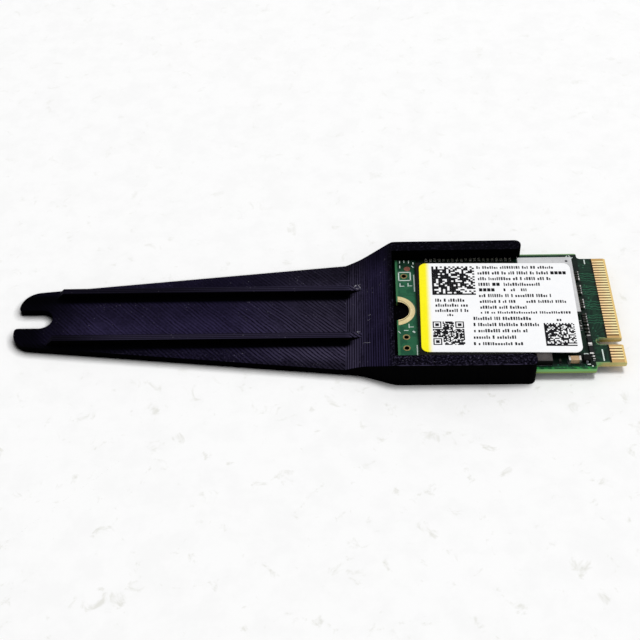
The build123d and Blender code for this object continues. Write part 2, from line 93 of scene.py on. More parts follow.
class Wiring:
    """Short calls for adding nodes to one tree. A value may be another node's socket or a plain number."""

    def __init__(self, tree):
        self.tree = tree

    def add(self, kind, **settings):
        node = self.tree.nodes.new(kind)
        for key, value in settings.items():
            setattr(node, key, value)
        return node

    def feed(self, socket, value):
        if isinstance(value, bpy.types.NodeSocket):
            self.tree.links.new(value, socket)
        else:
            socket.default_value = value

    def reckon(self, operation, first, second=0.0):
        node = self.add("ShaderNodeMath", operation=operation)
        self.feed(node.inputs[0], first)
        self.feed(node.inputs[1], second)
        return node.outputs[0]

    def chain(self, operation, values):
        """The first value with the second, their outcome with the third, and so on."""
        outcome = values[0]
        for value in values[1:]:
            outcome = self.reckon(operation, outcome, value)
        return outcome

    def product(self, *values):
        return self.chain("MULTIPLY", values)

    def total(self, *values):
        return self.chain("ADD", values)

    def largest(self, *values):
        return self.chain("MAXIMUM", values)

    def less(self, value, taken):
        return self.reckon("SUBTRACT", value, taken)

    def unsigned(self, value):
        return self.reckon("ABSOLUTE", value)

    def span(self, value, low, high, to_low=0.0, to_high=1.0):
        """A smooth step of the value between two limits."""
        node = self.add("ShaderNodeMapRange", interpolation_type="SMOOTHSTEP")
        for socket, given in zip(node.inputs, (value, low, high, to_low, to_high)):
            self.feed(socket, given)
        return node.outputs["Result"]

    def fall(self, value, low, high):
        """A smooth step down from one to nought."""
        return self.span(value, low, high, 1.0, 0.0)

    def stretch(self, value, rise, fall):
        """One on a stretch with soft ends, each given by the two limits of its step."""
        return self.product(self.span(value, *rise), self.fall(value, *fall))

    def choose(self, mask, off, on):
        """One number where the mask is nought, another where it is one, and a smooth step between."""
        return self.span(mask, 0.0, 1.0, off, on)

    def noise(self, place, per_mm, detail=2.0, rough=0.5, warp=0.0):
        node = self.add("ShaderNodeTexNoise")
        self.feed(node.inputs["Vector"], place)
        self.feed(node.inputs["Scale"], per_mm)
        node.inputs["Detail"].default_value = detail
        node.inputs["Roughness"].default_value = rough
        node.inputs["Distortion"].default_value = warp
        return node.outputs["Fac"]

    def blend(self, mask, under, over):
        node = self.add("ShaderNodeMix", data_type="RGBA")
        self.feed(node.inputs[0], mask)
        self.feed(node.inputs[6], under)
        self.feed(node.inputs[7], over)
        return node.outputs[2]

    def joined(self, first, second):
        """A place in the plane from two numbers."""
        node = self.add("ShaderNodeCombineXYZ")
        self.feed(node.inputs[0], first)
        self.feed(node.inputs[1], second)
        return node.outputs[0]

    def ridges(self, value, pitch):
        """Rounded ridges, one to a pitch: the unsigned sine of half a turn to each pitch."""
        return self.unsigned(self.reckon("SINE", self.product(value, math.pi / pitch)))

    def use(self, effect, **given):
        """Places a shared effect and returns its outputs."""
        node = self.add("ShaderNodeGroup", node_tree=effect)
        for key, value in given.items():
            self.feed(node.inputs[key], value)
        return node.outputs


def new_effect(name, inputs, outputs):
    """An empty node group with named sockets; gives its tree, its wiring, and its inner ends."""
    tree = bpy.data.node_groups.new(name, "ShaderNodeTree")
    for label, kind in inputs:
        tree.interface.new_socket(label, in_out="INPUT", socket_type=kind)
    for label, kind in outputs:
        tree.interface.new_socket(label, in_out="OUTPUT", socket_type=kind)
    wiring = Wiring(tree)
    return tree, wiring, wiring.add("NodeGroupInput").outputs, wiring.add("NodeGroupOutput").inputs


NUMBER, VECTOR = "NodeSocketFloat", "NodeSocketVector"

# Place on the card in millimetres, and how far the surface faces up and back
card_place, wire, given, result = new_effect("card_place", [], [
    ("Place", VECTOR), ("Along", NUMBER), ("Across", NUMBER), ("Up", NUMBER),
    ("Facing", NUMBER), ("Backward", NUMBER)])
coordinates = wire.add("ShaderNodeTexCoord")
in_mm = wire.add("ShaderNodeVectorMath", operation="MULTIPLY_ADD")
wire.feed(in_mm.inputs[0], coordinates.outputs["Object"])
in_mm.inputs[1].default_value = (1 / MM, 1 / MM, 1 / MM)
in_mm.inputs[2].default_value = (-CARD_X, 0, -CARD_Z)
split = wire.add("ShaderNodeSeparateXYZ")
wire.feed(split.inputs[0], in_mm.outputs[0])
lean = wire.add("ShaderNodeSeparateXYZ")
wire.feed(lean.inputs[0], coordinates.outputs["Normal"])
wire.feed(result["Place"], in_mm.outputs[0])
for label, socket in zip(("Along", "Across", "Up"), split.outputs):
    wire.feed(result[label], socket)
wire.feed(result["Facing"], lean.outputs[2])
wire.feed(result["Backward"], lean.outputs[1])

# Fine grain: close speckle with a little slower drift under it
fine_grain, wire, given, result = new_effect(
    "fine_grain", [("Place", VECTOR), ("Per mm", NUMBER)], [("Tone", NUMBER), ("Height", NUMBER)])
speckle = wire.noise(given["Place"], given["Per mm"], 3.0, 0.6)
drift = wire.noise(given["Place"], wire.product(given["Per mm"], 0.13), 2.0)
wire.feed(result["Tone"], wire.span(wire.total(speckle, wire.product(drift, 0.5)), 0.5, 1.0))
wire.feed(result["Height"], speckle)

# Smudges: broad warped patches where a surface has been handled
smudges, wire, given, result = new_effect(
    "smudges", [("Place", VECTOR), ("Per mm", NUMBER)], [("Film", NUMBER)])
patch = wire.noise(given["Place"], given["Per mm"], 4.0, 0.65, 0.8)
wire.feed(result["Film"], wire.span(patch, 0.38, 0.68))

# Settled dust: sparse specks on surfaces that face up
settled_dust, wire, given, result = new_effect(
    "settled_dust", [("Place", VECTOR), ("Facing", NUMBER), ("Per mm", NUMBER)], [("Mask", NUMBER)])
specks = wire.span(wire.noise(given["Place"], given["Per mm"], 1.0), 0.69, 0.78)
clumps = wire.span(wire.noise(given["Place"], 0.22, 3.0, 0.6), 0.42, 0.66)
on_top = wire.span(given["Facing"], 0.5, 0.95)
wire.feed(result["Mask"], wire.product(specks, clumps, on_top))


class Finish(Wiring):
    """One material: its shader's plain values, its place on the card, and calls that feed the shader."""

    def __init__(self, name, metal=0.0, specular=0.5):
        self.material = bpy.data.materials.new(name)
        self.material.use_nodes = True
        super().__init__(self.material.node_tree)
        self.shader = self.tree.nodes["Principled BSDF"]
        self.shader.inputs["Metallic"].default_value = metal
        self.shader.inputs["Specular IOR Level"].default_value = specular
        where = self.use(card_place)
        self.place, self.along, self.across, self.up, self.facing, self.backward = (
            where[label] for label in ("Place", "Along", "Across", "Up", "Facing", "Backward"))

    def colour(self, value):
        self.feed(self.shader.inputs["Base Color"], value)

    def rough(self, value):
        self.feed(self.shader.inputs["Roughness"], value)

    def relief(self, height, depth_mm, strength=1.0):
        bump = self.add("ShaderNodeBump")
        bump.inputs["Strength"].default_value = strength
        bump.inputs["Distance"].default_value = depth_mm * MM
        self.feed(bump.inputs["Height"], height)
        self.feed(self.shader.inputs["Normal"], bump.outputs[0])

    def grain(self, per_mm):
        return self.use(fine_grain, Place=self.place, **{"Per mm": per_mm})

    def film(self, per_mm):
        return self.use(smudges, Place=self.place, **{"Per mm": per_mm})["Film"]

    def flat(self, low, high):
        """One on faces that look straight up or down."""
        return self.span(self.unsigned(self.facing), low, high)

    def streaks(self, shrink, per_mm):
        """Noise drawn out along the card."""
        drawn_out = self.add("ShaderNodeMapping")
        drawn_out.inputs["Scale"].default_value = (shrink, 1.0, 1.0)
        self.feed(drawn_out.inputs["Vector"], self.place)
        return self.noise(drawn_out.outputs[0], per_mm, 3.0, 0.6)

    def grained(self, low, high, per_mm, rough_low, rough_high, depth_mm):
        """A plain grained finish: two tones of one colour, with roughness and relief from the same grain."""
        grain = self.grain(per_mm)
        self.colour(self.blend(grain["Tone"], low, high))
        self.rough(self.choose(grain["Tone"], rough_low, rough_high))
        self.relief(grain["Height"], depth_mm)
        return self.material


class BracketPlastic(Finish):
    """Black filament print, with masks of the tail: before and behind the ribs, rib tops, ramp and foot."""

    PALE_FLECK = srgb(58, 54, 74)

    def __init__(self, name):
        super().__init__(name, specular=0.004)
        self.before = self.fall(self.across, -RIB_OUTER - 0.4, -RIB_INNER)
        self.behind = self.span(self.across, RIB_INNER, RIB_OUTER + 0.4)
        self.on_rib = self.product(self.span(self.up, -0.3, -0.1),
                                   self.fall(self.along, RAMP_FOOT + 0.5, RAMP_FOOT + 0.7))
        self.on_ramp = self.span(self.along, RAMP_FOOT - 0.2, RAMP_FOOT + 0.2)
        self.foot = self.stretch(self.along, (RAMP_FOOT - 0.2, RAMP_FOOT), (RAMP_FOOT + 0.9, RAMP_FOOT + 3.6))

    def print_lines(self):
        """Print lines, and how strong each of them is.

        The lines are a slanting raster on flat faces and stacked layers on slopes and walls. Their strength
        changes from line to line and slowly along each. It is low behind the ribs, and on the ramp it wears
        off to the back and to the top.
        """
        wobble = self.noise(self.place, 0.35, 3.0)
        slant = self.product(self.total(self.along, self.across), math.sqrt(0.5))
        slant = self.total(slant, self.product(wobble, 0.5))
        raster = self.ridges(slant, RASTER_PITCH)
        layers = self.ridges(self.total(self.up, CARD_Z), LAYER_HEIGHT)
        flat = self.flat(0.955, 0.985)
        lines = self.total(self.product(raster, flat), self.product(layers, self.less(1.0, flat)))
        down_raster = self.product(self.less(self.along, self.across), LINE_STRETCH)
        down_layer = self.product(self.across, LINE_STRETCH)
        strength = self.choose(self.on_ramp,
                               self.noise(self.joined(slant, down_raster), 1.5, 2.0, 0.6),
                               self.noise(self.joined(self.along, down_layer), 2.4, 2.0, 0.6))
        strength = self.span(strength, 0.34, 0.66, 0.15, 1.85)
        worn = self.product(self.span(self.across, 0.5, 7.0, 1.0, 0.4),
                            self.span(self.along, -4.5, -1.0, 1.0, 0.6))
        kept = self.choose(self.on_ramp, self.choose(self.behind, 1.0, 0.45), worn)
        return lines, self.product(strength, kept)

    def line_tone(self, lines, strength, grain_tone):
        """Tone from lines and grain. The lines stand out most before the ribs and at the ramp's foot."""
        depth = self.product(self.span(self.along, -26.0, -10.0, 0.5, 1.4), self.choose(self.foot, 1.0, 1.7),
                             self.choose(self.before, 1.0, 2.0), strength)
        level = self.choose(self.foot, self.choose(self.before, 0.32, 0.16), 0.08)
        return self.total(self.product(self.less(lines, 0.5), depth), level, self.product(grain_tone, 0.42))

    def painted_tail_light(self):
        """Painted sheen on the tail: little at the prongs, more to the ramp, and painted shadow along each
        rib's front foot.
        """
        slope = self.span(self.across, -3.2, 2.2, 1.5, self.span(self.along, -38.0, -14.0, 0.76, 1.05))
        middle = self.product(self.span(self.along, -51.0, -41.0, 0.03, 0.54),
                              self.span(self.along, -20.0, -8.0, 1.0, 0.85),
                              slope, self.span(self.across, 2.4, 3.6, 1.0, 0.25))
        by_back_rib = self.product(self.span(self.along, -20.0, -9.0),
                                   self.span(self.across, 5.5, 8.0, 0.4, 0.0))
        back_strip = self.total(by_back_rib, self.span(self.along, -48.0, -42.0, 0.02, 0.3),
                                self.span(self.along, -34.0, -26.0, 0.1, 0.0))
        front_strip = self.total(self.span(self.along, -44.0, -25.0, 0.03, 0.34),
                                 self.span(self.along, -25.0, -11.0, 0.0, 0.55))
        front_strip = self.product(front_strip, self.span(self.across, -9.3, -7.2, 0.3, 1.0))
        ribs = self.span(self.across, -1.0, 1.0, self.span(self.along, -47.0, -36.0, 0.12, 0.56),
                         self.span(self.along, -36.0, -10.0, 0.17, 0.6))
        ramp = self.product(self.span(self.along, -2.0, -0.5, 0.52, 0.32),
                            self.span(self.across, 5.5, 10.0, 1.0, 0.42), self.choose(self.foot, 1.0, 1.5))
        light = self.choose(self.behind, middle, back_strip)
        light = self.choose(self.before, light, front_strip)
        light = self.choose(self.on_rib, light, ribs)
        light = self.span(self.along, *RAMP_ONSET, light, ramp)
        # Painted shadow along each rib's front foot
        for face in RIB_FRONTS:
            shadow = self.product(self.stretch(self.less(face, self.across), (-0.02, 0.02), (0.45, 1.4)),
                                  self.stretch(self.along, (-50.0, -46.5), (-6.9, -5.4)))
            light = self.choose(shadow, light, 0.0)
        return light

    def arm_top(self, tone, flecks):
        """The arms' narrow tops: dark with pale flecks, a broken painted highlight at the front arm's edge,
        and painted shade on the back arm.
        """
        # Painted shade: the back arm's top is darker and its flecks dimmer than on the front arm
        front_arm = self.fall(self.across, -2.0, 2.0)
        flecks = self.product(flecks, self.choose(front_arm, 0.35, 1.0))
        from_edge = self.less(ARM_EDGE, self.unsigned(self.across))
        broken = self.span(self.noise(self.place, 0.5, 2.0), 0.42, 0.58, 0.05, 0.7)
        # Painted highlight: a broken pale line along the front arm's outer top edge
        edge_highlight = self.product(self.fall(from_edge, 0.1, 0.2), broken, front_arm)
        shade = self.blend(tone, srgb(1, 1, 3), self.blend(front_arm, srgb(8, 7, 13), srgb(15, 13, 23)))
        return self.blend(self.largest(flecks, edge_highlight), shade, self.PALE_FLECK)

    def upper_faces(self, tone, light):
        """What faces up: tail and ramp by their painted light, lined rib tops, the pocket floor in painted
        shade and the arms.

        Stray flecks lie on the strip before the front rib, a little away from it.
        """
        # Painted sheen: the lit colour of the tail's top; the painted light below dims it to near black
        near_ramp = self.stretch(self.along, (-26.0, -9.0), (-6.0, -3.0))
        sheen = self.blend(near_ramp, srgb(50, 44, 75), srgb(61, 56, 77))
        rib_lines = self.ridges(self.across, RIB_LINE_PITCH)
        rib_top = self.blend(rib_lines, srgb(5, 4, 11), srgb(58, 53, 75))
        top = self.blend(self.on_rib, self.blend(tone, srgb(9, 6, 18), sheen), rib_top)
        top = self.blend(light, srgb(1, 1, 2), top)
        flecks = self.span(self.noise(self.place, 3.4, 3.0, 0.7), 0.5, 0.72)
        stray = self.product(flecks, self.before, self.span(self.across, -6.6, -5.9, 0.45, 0.0),
                             self.stretch(self.along, (-48.0, -38.0), RAMP_ONSET))
        top = self.blend(stray, top, self.PALE_FLECK)
        # Painted shade: the pocket floor is nearly black
        pocket = self.product(self.span(self.along, -0.6, -0.4), self.fall(self.up, -0.5, -0.3))
        top = self.blend(pocket, top, srgb(4, 4, 6))
        return self.blend(self.span(self.up, 1.5, 1.95), top, self.arm_top(tone, flecks))


def printed_plastic():
    """Black filament print, with dust shown only where the painted light falls on the tail.

    The front walls are painted nearly black as shade, the other walls lighter, and the underside shows the
    raster of its first layer.
    """
    finish = BracketPlastic("printed_plastic")
    grain = finish.grain(3.2)
    lines, strength = finish.print_lines()
    tone = finish.line_tone(lines, strength, grain["Tone"])
    # Painted light on the tail, with painted shadows in front of the ribs
    light = finish.painted_tail_light()
    # Painted shade: walls facing the front are nearly black; the other walls are lighter, as if lit
    shaded_front_wall = finish.blend(tone, srgb(0, 0, 0), srgb(3, 3, 4))
    lit_other_wall = finish.blend(tone, srgb(3, 3, 6), srgb(24, 22, 32))
    wall = finish.blend(finish.span(finish.backward, -0.4, 0.2), shaded_front_wall, lit_other_wall)
    bed_side = finish.blend(tone, srgb(10, 9, 16), srgb(34, 31, 44))
    base = finish.blend(finish.span(finish.facing, 0.4, 0.9), wall, finish.upper_faces(tone, light))
    base = finish.blend(finish.fall(finish.facing, -0.9, -0.6), base, bed_side)
    dust = finish.use(settled_dust, Place=finish.place, Facing=finish.facing, **{"Per mm": 3.6})
    # Dust shows only where the painted light falls
    lit_dust = finish.product(dust["Mask"], finish.span(light, 0.05, 0.25, 0.0, 0.42))
    finish.colour(finish.blend(lit_dust, base, srgb(120, 118, 130)))
    finish.rough(finish.choose(grain["Tone"], 0.42, 0.6))
    height = finish.total(finish.product(lines, strength), finish.product(grain["Height"], 0.35))
    finish.relief(height, 0.03, 0.7)
    return finish.material


class BoardLacquer(Finish):
    """Lacquered board, with its distance from the key notch.

    The distance is taken from the axis of the notch's round end, and further on from its centre line.
    """

    def __init__(self, name):
        super().__init__(name, specular=0.12)
        short_of = self.largest(self.less(KEY_X, self.along), 0.0)
        beside = self.less(self.across, KEY_Y)
        squares = self.total(self.product(short_of, short_of), self.product(beside, beside))
        self.from_key = self.reckon("SQRT", squares)

    def copper(self):
        """Copper under the lacquer: broad fields, and winding inner traces by the contacts."""
        pour = self.span(self.noise(self.place, 0.55, 3.0, 0.55, 0.6), 0.44, 0.52)
        winding = self.ridges(self.noise(self.place, 0.26, 1.0, 0.4, 0.5), 0.085)
        winding = self.span(winding, 0.42, 0.72)
        by_contacts = self.span(self.along, TONGUE_START - 0.1, TONGUE_START + 0.2)
        return self.total(self.product(pour, self.less(1.0, by_contacts)), self.product(winding, by_contacts))

    def lacquer(self, copper, tone):
        """Green lacquer: lighter at the notched end and over laminate, with pale rims by the milled edges
        painted as highlights.

        Painted shade makes it nearly black round the rows of small parts, in the back corner of the notched
        end and close to the fingers.
        """
        notched_end = self.fall(self.along, 3.0, 8.0)
        over_copper = self.blend(tone, srgb(7, 29, 21), srgb(12, 41, 29))
        over_copper = self.blend(notched_end, over_copper, srgb(24, 80, 56))
        over_laminate = self.blend(tone, srgb(14, 44, 31), srgb(22, 57, 40))
        over_laminate = self.blend(notched_end, over_laminate, srgb(36, 96, 66))
        lacquer = self.blend(copper, over_laminate, over_copper)
        # Painted shade: the back corner of the notched end, where the arm's shadow falls, is darkened
        shaded_back_corner = self.product(self.span(self.across, 7.2, 9.0, 0.0, 0.8), notched_end)
        lacquer = self.blend(shaded_back_corner, lacquer, srgb(16, 22, 20))
        # Painted shade: near black by the lane chips, behind the back row and along the front strip
        lane_field = self.product(self.stretch(self.along, (24.6, 24.9), (25.9, 26.25)),
                                  self.span(self.across, -3.0, 0.5, 0.75, 0.9))
        back_field = self.product(self.stretch(self.along, (2.7, 3.1), (17.0, 17.4)),
                                  self.span(self.across, 8.2, 8.6))
        front_field = self.product(self.stretch(self.along, (17.4, 17.8), (25.6, 26.1)),
                                   self.stretch(self.across, (-10.3, -10.05), (-8.3, -7.9)))
        shaded_fields = self.product(self.largest(lane_field, back_field, front_field), 0.93)
        lacquer = self.blend(shaded_fields, lacquer, srgb(4, 14, 9))
        # Painted highlight: a pale rim along the notched end's edge
        lacquer = self.blend(self.fall(self.along, 0.2, 0.42), lacquer, srgb(56, 114, 76))
        # Painted highlight along the front edge's rim
        front_rim_highlight = self.fall(self.across, 0.3 - BOARD_EDGE, 0.5 - BOARD_EDGE)
        patchy = self.span(self.noise(self.place, 1.3, 2.0), 0.46, 0.6)
        lacquer = self.blend(front_rim_highlight, lacquer, self.blend(patchy, srgb(22, 70, 38), srgb(44, 128, 62)))
        # Painted highlights: pale rims round the key notch, along the back edge and along the tongue's front
        # edge
        tongue_rim = self.product(self.span(self.along, TONGUE_START - 0.15, TONGUE_START),
                                  self.fall(self.across, -9.86, -9.76))
        rim_highlight = self.largest(self.fall(self.from_key, KEY_RADIUS + 0.02, KEY_RADIUS + 0.14),
                                self.span(self.across, BOARD_EDGE - 0.26, BOARD_EDGE - 0.14), tongue_rim)
        lacquer = self.blend(self.product(rim_highlight, 0.75), lacquer, srgb(128, 168, 116))
        # Painted shade: a dark band in the lacquer just before the fingers
        shade_by_fingers = self.span(self.along, MASK_END - 0.4, MASK_END - 0.12)
        return self.blend(shade_by_fingers, lacquer, srgb(8, 11, 2))

    def laminate(self):
        """Bare woven laminate: painted dark as shade between the fingers, pale at the margins and palest on
        the bevel.
        """
        weave = self.product(self.ridges(self.along, WEAVE_PITCH), self.ridges(self.across, WEAVE_PITCH))
        # Painted shade: near black between the fingers at the lacquer's end, lighter towards the tip
        laminate = self.blend(self.span(self.along, MASK_END, 29.4), srgb(16, 9, 2), srgb(88, 56, 18))
        laminate = self.blend(self.product(weave, 0.1), laminate, srgb(180, 140, 76))
        margin = self.largest(self.span(self.unsigned(self.across), 9.4, 9.47),
                              self.fall(self.from_key, KEY_RADIUS + 0.38, KEY_RADIUS + 0.46))
        laminate = self.blend(margin, laminate, srgb(196, 160, 104))
        bevelled = self.span(self.along, BEVEL_START - 0.02, BEVEL_START + 0.02)
        return self.blend(bevelled, laminate, srgb(226, 194, 122))

    def cut_edge(self):
        """Milled edges: green strands with a lighter lip, bare and paler on the tongue and in the notch."""
        strands = self.noise(self.place, 9.0, 3.0, 0.6)
        bare = self.blend(strands, srgb(160, 144, 82), srgb(206, 184, 120))
        bare = self.blend(self.span(self.along, 27.6, 29.6, 0.0, 0.6), bare, srgb(232, 212, 142))
        cut = self.blend(strands, srgb(112, 140, 70), srgb(150, 172, 96))
        cut = self.blend(self.span(self.along, TONGUE_START, TONGUE_START + 1.2), cut, bare)
        lip = self.product(self.span(self.up, -0.6, -0.36),
                           self.span(self.along, TONGUE_START, TONGUE_START + 1.0, 1.0, 0.2))
        cut = self.blend(lip, cut, srgb(120, 184, 112))
        along_key = self.span(self.along, 26.8, 29.0)
        key_wall = self.blend(along_key, srgb(96, 92, 32), srgb(196, 168, 94))
        key_lip = self.blend(along_key, srgb(140, 160, 112), srgb(224, 204, 142))
        key_side = self.blend(self.span(self.up, -0.45, -0.25), key_wall, key_lip)
        return self.blend(self.fall(self.from_key, KEY_RADIUS + 0.02, KEY_RADIUS + 0.06), cut, key_side)


def board_lacquer():
    """Green lacquer over copper on the faces, bare laminate at the contacts and on the cut edges."""
    finish = BoardLacquer("board_lacquer")
    grain = finish.grain(5.0)
    copper = finish.copper()
    coated = finish.fall(finish.along, MASK_END - 0.02, MASK_END + 0.02)
    face = finish.blend(coated, finish.laminate(), finish.lacquer(copper, grain["Tone"]))
    finish.colour(finish.blend(finish.flat(0.5, 0.8), finish.cut_edge(), face))
    finish.rough(finish.choose(finish.film(0.3), 0.3, 0.42))
    height = finish.total(finish.product(copper, 0.6), finish.product(grain["Height"], 0.3))
    finish.relief(height, 0.02, 0.7)
    return finish.material


def plated_metal(name, dull, bright, per_mm, rough_low, rough_high, shaded=()):
    """Plated or tinned metal: two tones of the metal, with handling marks in its gloss.

    It is dim on each shaded stretch along the card, where a taller part stands over it.
    """
    finish = Finish(name, metal=1.0)
    grain = finish.grain(per_mm)
    metal = finish.blend(grain["Tone"], dull, bright)
    for start, end in shaded:
        stretch = finish.stretch(finish.along, (start - 0.05, start + 0.05), (end - 0.05, end + 0.05))
        metal = finish.blend(stretch, metal, srgb(46, 47, 46))
    finish.colour(metal)
    finish.rough(finish.choose(finish.film(0.8), rough_low, rough_high))
    finish.relief(grain["Height"], 0.006, 0.6)
    return finish.material


def contact_gold():
    """Gold contacts: pinkish by the lacquer, paler and yellower to the tip, and painted shade along both
    sides.

    Faint wiping marks run along the card.
    """
    finish = Finish("contact_gold", metal=1.0)
    marks = finish.streaks(0.15, 9.0)
    gold = finish.blend(finish.span(finish.along, MASK_END, 29.5), srgb(253, 216, 164), srgb(255, 242, 186))
    gold = finish.blend(finish.span(marks, 0.45, 0.75, 0.0, 0.5), gold, srgb(212, 160, 92))
    # Painted shade darkens each finger along both sides on its top face
    flank_shade = finish.span(finish.ridges(finish.across, CONTACT_PITCH), 0.46, 0.8, 0.8, 0.0)
    flank_shade = finish.product(flank_shade, finish.span(finish.facing, 0.0, 0.5))
    finish.colour(finish.blend(flank_shade, gold, srgb(112, 66, 26)))
    finish.rough(finish.span(marks, 0.3, 0.7, 0.28, 0.42))
    finish.relief(marks, 0.004, 0.5)
    return finish.material


def header_plating():
    """Dull plating: pale on the flat rings, and painted nearly black as shade down the barrels."""
    finish = Finish("header_plating", metal=1.0)
    grain = finish.grain(7.0)
    ring = finish.blend(grain["Tone"], srgb(124, 112, 76), srgb(176, 158, 112))
    # Painted shade: the barrel walls are nearly black
    finish.colour(finish.blend(finish.flat(0.5, 0.9), srgb(24, 19, 11), ring))
    finish.rough(finish.choose(grain["Tone"], 0.42, 0.56))
    finish.relief(grain["Height"], 0.006, 0.6)
    return finish.material


def pad_plating():
    """Pale gold ring: a dark line runs just outside the hole, and green lacquer laps over the outer rim."""
    finish = Finish("pad_plating")
    grain = finish.grain(6.0)
    from_axis = finish.add("ShaderNodeVectorMath", operation="DISTANCE")
    finish.feed(from_axis.inputs[0], finish.place)
    from_axis.inputs[1].default_value = (-0.24, 0.0, 0.0)
    radius = from_axis.outputs["Value"]
    gold = finish.blend(grain["Tone"], srgb(206, 186, 134), srgb(240, 224, 176))
    line = finish.stretch(radius, (2.0, 2.05), (2.1, 2.15))
    gold = finish.blend(finish.product(line, 0.75), gold, srgb(70, 58, 30))
    # Painted shade: the pad's walls, down the hole, are dark
    gold = finish.blend(finish.flat(0.5, 0.9), srgb(60, 50, 28), gold)
    lapped = finish.span(radius, 2.77, 2.82)
    finish.colour(finish.blend(lapped, gold, srgb(28, 84, 58)))
    finish.feed(finish.shader.inputs["Metallic"], finish.less(1.0, lapped))
    finish.rough(finish.choose(grain["Tone"], 0.3, 0.44))
    finish.relief(grain["Height"], 0.006, 0.6)
    return finish.material


def lid_nickel():
    """Stamped nickel lid: satin, with a faint rolled grain along the card and handling marks."""
    finish = Finish("lid_nickel", metal=1.0)
    rolled = finish.streaks(0.06, 7.0)
    tone = finish.total(finish.product(rolled, 0.5), finish.product(finish.film(0.45), 0.4))
    finish.colour(finish.blend(tone, srgb(190, 190, 192), srgb(220, 221, 222)))
    finish.rough(finish.span(tone, 0.2, 0.7, 0.26, 0.4))
    finish.relief(rolled, 0.004, 0.5)
    return finish.material


def label_film():
    """White label film with a yellow band along its notched end, fading out over 0.85 mm."""
    finish = Finish("label_film", specular=0.3)
    heading = (math.cos(LABEL_SKEW), math.sin(LABEL_SKEW), 0.0)
    down_label = finish.add("ShaderNodeVectorMath", operation="DOT_PRODUCT")
    finish.feed(down_label.inputs[0], finish.place)
    down_label.inputs[1].default_value = heading
    end_at = LABEL_CENTRE @ np.array(heading[:2]) - LABEL_HALF_LENGTH
    from_end = finish.less(down_label.outputs["Value"], float(end_at))
    grain = finish.grain(7.0)
    white = finish.blend(grain["Tone"], srgb(247, 248, 250), srgb(252, 252, 253))
    yellow = finish.blend(grain["Tone"], srgb(248, 236, 0), srgb(255, 244, 4))
    finish.colour(finish.blend(finish.span(from_end, 0.8, 1.65), yellow, white))
    finish.rough(finish.choose(finish.film(0.25), 0.42, 0.54))
    finish.relief(grain["Height"], 0.003, 0.5)
    return finish.material


def inductor_powder():
    """Pressed metal powder: grey with lighter and rusty specks on top, and painted nearly black as shade down
    the sides.
    """
    finish = Finish("inductor_powder", specular=0.06)
    grain = finish.grain(9.0)
    rust = finish.span(finish.noise(finish.place, 4.0, 2.0), 0.56, 0.7)
    top = finish.blend(grain["Tone"], srgb(60, 57, 57), srgb(90, 86, 86))
    top = finish.blend(finish.product(rust, 0.3), top, srgb(112, 88, 70))
    # Painted shade: the sides are nearly black
    finish.colour(finish.blend(finish.span(finish.facing, 0.3, 0.8), srgb(7, 7, 6), top))
    finish.rough(finish.choose(grain["Tone"], 0.55, 0.72))
    finish.relief(grain["Height"], 0.015)
    return finish.material


def table_board(shadow_reach=1.4):
    """White foam board: soft uneven cells, and small faint grey patches of painted shade where it is slightly
    dented, here and there, mostly in front.

    A painted contact shadow darkens it within a short reach of what rests on it: most along the tail, less
    along the arms, and not below the card.
    """
    finish = Finish("table_board", specular=0.05)
    cells = finish.span(finish.noise(finish.place, 0.3, 3.0, 0.6), 0.32, 0.62)
    white = finish.blend(cells, srgb(249, 249, 249), srgb(252, 252, 252))
    # Painted shade of slight hollows in the board, mostly in front
    dent_shade = finish.span(finish.noise(finish.place, 0.42, 4.0, 0.62, 0.5), 0.59, 0.76, 0.0, 0.8)
    dent_shade = finish.product(dent_shade, finish.span(finish.across, -30.0, 40.0, 1.0, 0.4))
    white = finish.blend(dent_shade, white, srgb(226, 226, 220))
    # Painted contact shadow from ambient occlusion: strongest along the tail, less along the arms, none below
    # the card
    occlusion = finish.add("ShaderNodeAmbientOcclusion", samples=4)
    occlusion.inputs["Distance"].default_value = shadow_reach * MM
    shade = finish.product(finish.fall(occlusion.outputs["AO"], 0.55, 0.98),
                           finish.span(finish.along, -8.0, 0.0, 1.0, 0.38),
                           finish.fall(finish.along, 12.0, 18.0))
    finish.colour(finish.blend(shade, white, srgb(28, 28, 29)))
    finish.rough(0.9)
    return finish.material


